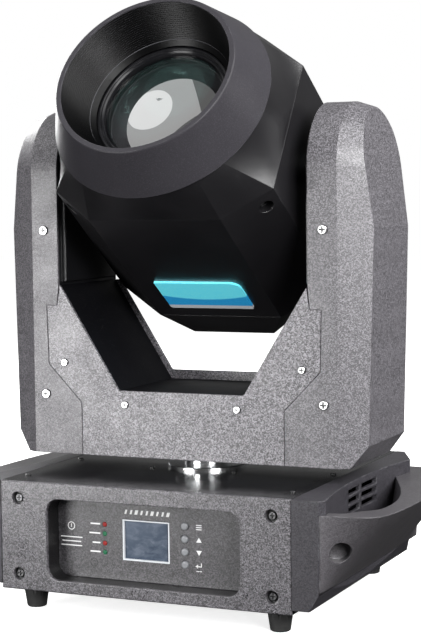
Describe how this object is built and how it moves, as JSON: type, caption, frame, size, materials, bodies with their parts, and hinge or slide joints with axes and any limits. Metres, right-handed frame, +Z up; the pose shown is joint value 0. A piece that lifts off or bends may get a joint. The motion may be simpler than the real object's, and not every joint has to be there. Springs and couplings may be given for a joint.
{
  "type": "moving head stage light",
  "caption": "Motorised stage light: a base with a control panel carries a panning yoke, and a hooded beam head with a large front lens tilts between its arms.",
  "frame": {"origin": "the pan axis, at the floor under the rubber feet", "axes": "+Z up along the pan axis, -Y out of the control panel, +X to the right of someone who faces the control panel"},
  "size_m": [0.509, 0.3866, 0.623],
  "materials": {
    "case_paint": "dark grey fine-grain powder coat, satin",
    "base_paint": "black paint, semi-gloss",
    "side_plastic": "charcoal moulded plastic, satin",
    "head_plastic": "charcoal moulded plastic, fine grain, satin",
    "black_plastic": "black plastic, satin",
    "display": "blue-grey liquid crystal display behind clear plastic",
    "light_red": "clear red lamp",
    "light_green": "clear green lamp",
    "circuit_board": "green circuit board",
    "socket_metal": "die-cast shell, satin",
    "foot_rubber": "black rubber, matt",
    "supply_block": "stands in for a mostly empty sheet case",
    "bright_metal": "turned and polished",
    "screw_steel": "nickel plated steel",
    "frame_metal": "bare sheet, brushed",
    "bearing_steel": "ground steel",
    "motor_paint": "black motor body",
    "belt_rubber": "black neoprene",
    "button_plastic": "white-silver plastic",
    "lens_glass": "coated optical glass",
    "badge_plastic": "blue label under clear plastic",
    "lamp_glass": "clear glass burner",
    "wheel_metal": "thin disc, matt"
  },
  "bodies": {
    "base": {"base_tray": "base_paint", "base_top_plate": "base_paint", "front_bezel": "case_paint", "control_panel": "case_paint", "display_module": "display", "status_lights_red": "light_red", "status_lights_green": "light_green", "control_board": "circuit_board", "side_shell_right": "side_plastic", "side_shell_left": "side_plastic", "carry_handle_right": "side_plastic", "carry_handle_left": "side_plastic", "power_inlet": "black_plastic", "power_switch": "black_plastic", "data_sockets": "socket_metal", "rubber_feet": "foot_rubber", "power_supply": "supply_block", "driver_board": "circuit_board", "pan_hub": "bright_metal", "base_screws": "screw_steel"},
    "yoke": {"yoke_frame": "frame_metal", "arm_cover_right": "case_paint", "arm_cover_left": "case_paint", "inner_cover_right": "black_plastic", "inner_cover_left": "black_plastic", "lower_plate_front": "case_paint", "lower_plate_rear": "case_paint", "saddle": "base_paint", "pan_bearing": "bearing_steel", "pan_motor": "motor_paint", "pan_belt": "belt_rubber", "tilt_bearings": "bearing_steel", "tilt_motor": "motor_paint", "tilt_belt": "belt_rubber", "yoke_screws": "screw_steel"},
    "head": {"head_shell": "head_plastic", "head_rear_cap": "head_plastic", "hood": "head_plastic", "lens_ring": "black_plastic", "front_lens": "lens_glass", "badge": "badge_plastic", "head_chassis": "frame_metal", "tilt_axles": "frame_metal", "lamp": "lamp_glass", "reflector": "bright_metal", "wheel_motors": "motor_paint", "fan_frame": "black_plastic", "head_screws": "screw_steel"},
    "pan_drive": {"pan_motor_pulley": "frame_metal"},
    "tilt_drive": {"tilt_motor_pulley": "frame_metal"},
    "colour": {"colour_wheel": "wheel_metal"},
    "gobo": {"gobo_wheel": "wheel_metal"},
    "prism": {"prism_wheel": "lens_glass"},
    "focus": {"focus_carriage": "frame_metal"},
    "fan": {"fan_blades": "black_plastic"},
    "rocker": {"power_rocker": "black_plastic"},
    "button_1": {"menu_button_1": "button_plastic"},
    "button_2": {"menu_button_2": "button_plastic"},
    "button_3": {"menu_button_3": "button_plastic"},
    "button_4": {"menu_button_4": "button_plastic"}
  },
  "joints": [
    {"name": "pan", "type": "hinge", "parent": "base", "child": "yoke", "pos_m": [0, 0, 0.15], "axis": [0, 0, 1], "range_deg": [-270, 270]},
    {"name": "tilt", "type": "hinge", "parent": "yoke", "child": "head", "pos_m": [0, 0, 0.451], "axis": [1, 0, 0], "range_deg": [-191.4, 78.6]},
    {"name": "pan_drive_spin", "type": "hinge", "parent": "yoke", "child": "pan_drive", "pos_m": [-0.088, 0, 0.2], "axis": [0, 0, 1], "range_deg": [-1080, 1080]},
    {"name": "tilt_drive_spin", "type": "hinge", "parent": "yoke", "child": "tilt_drive", "pos_m": [0.156, 0, 0.311], "axis": [1, 0, 0], "range_deg": [-798, 328]},
    {"name": "colour_spin", "type": "hinge", "parent": "head", "child": "colour", "pos_m": [0, 0.05353, 0.45382], "axis": [0, -0.8325, 0.554], "continuous": true},
    {"name": "gobo_spin", "type": "hinge", "parent": "head", "child": "gobo", "pos_m": [0, 0.00975, 0.40608], "axis": [0, -0.8325, 0.554], "continuous": true},
    {"name": "prism_spin", "type": "hinge", "parent": "head", "child": "prism", "pos_m": [0, 0, 0.451], "axis": [0, -0.8325, 0.554], "continuous": true},
    {"name": "focus_slide", "type": "slide", "parent": "head", "child": "focus", "axis": [0, -0.8325, 0.554], "range_m": [-0.015, 0.025]},
    {"name": "fan_spin", "type": "hinge", "parent": "head", "child": "fan", "pos_m": [0, 0.12696, 0.36652], "axis": [0, -0.8325, 0.554], "continuous": true},
    {"name": "power_rocker_hinge", "type": "hinge", "parent": "base", "child": "rocker", "pos_m": [-0.072, 0.1572, 0.08], "axis": [1, 0, 0], "range_deg": [-20, 0]},
    {"name": "menu_button_1_press", "type": "slide", "parent": "base", "child": "button_1", "axis": [0, 1, 0], "range_m": [0, 0.0013], "stiffness_N_per_m": 600},
    {"name": "menu_button_2_press", "type": "slide", "parent": "base", "child": "button_2", "axis": [0, 1, 0], "range_m": [0, 0.0013], "stiffness_N_per_m": 600},
    {"name": "menu_button_3_press", "type": "slide", "parent": "base", "child": "button_3", "axis": [0, 1, 0], "range_m": [0, 0.0013], "stiffness_N_per_m": 600},
    {"name": "menu_button_4_press", "type": "slide", "parent": "base", "child": "button_4", "axis": [0, 1, 0], "range_m": [0, 0.0013], "stiffness_N_per_m": 600}
  ],
  "couplings": [
    {"joint": "pan_drive_spin", "follows": "pan", "ratio": -4},
    {"joint": "tilt_drive_spin", "follows": "tilt", "ratio": 4.1667}
  ]
}
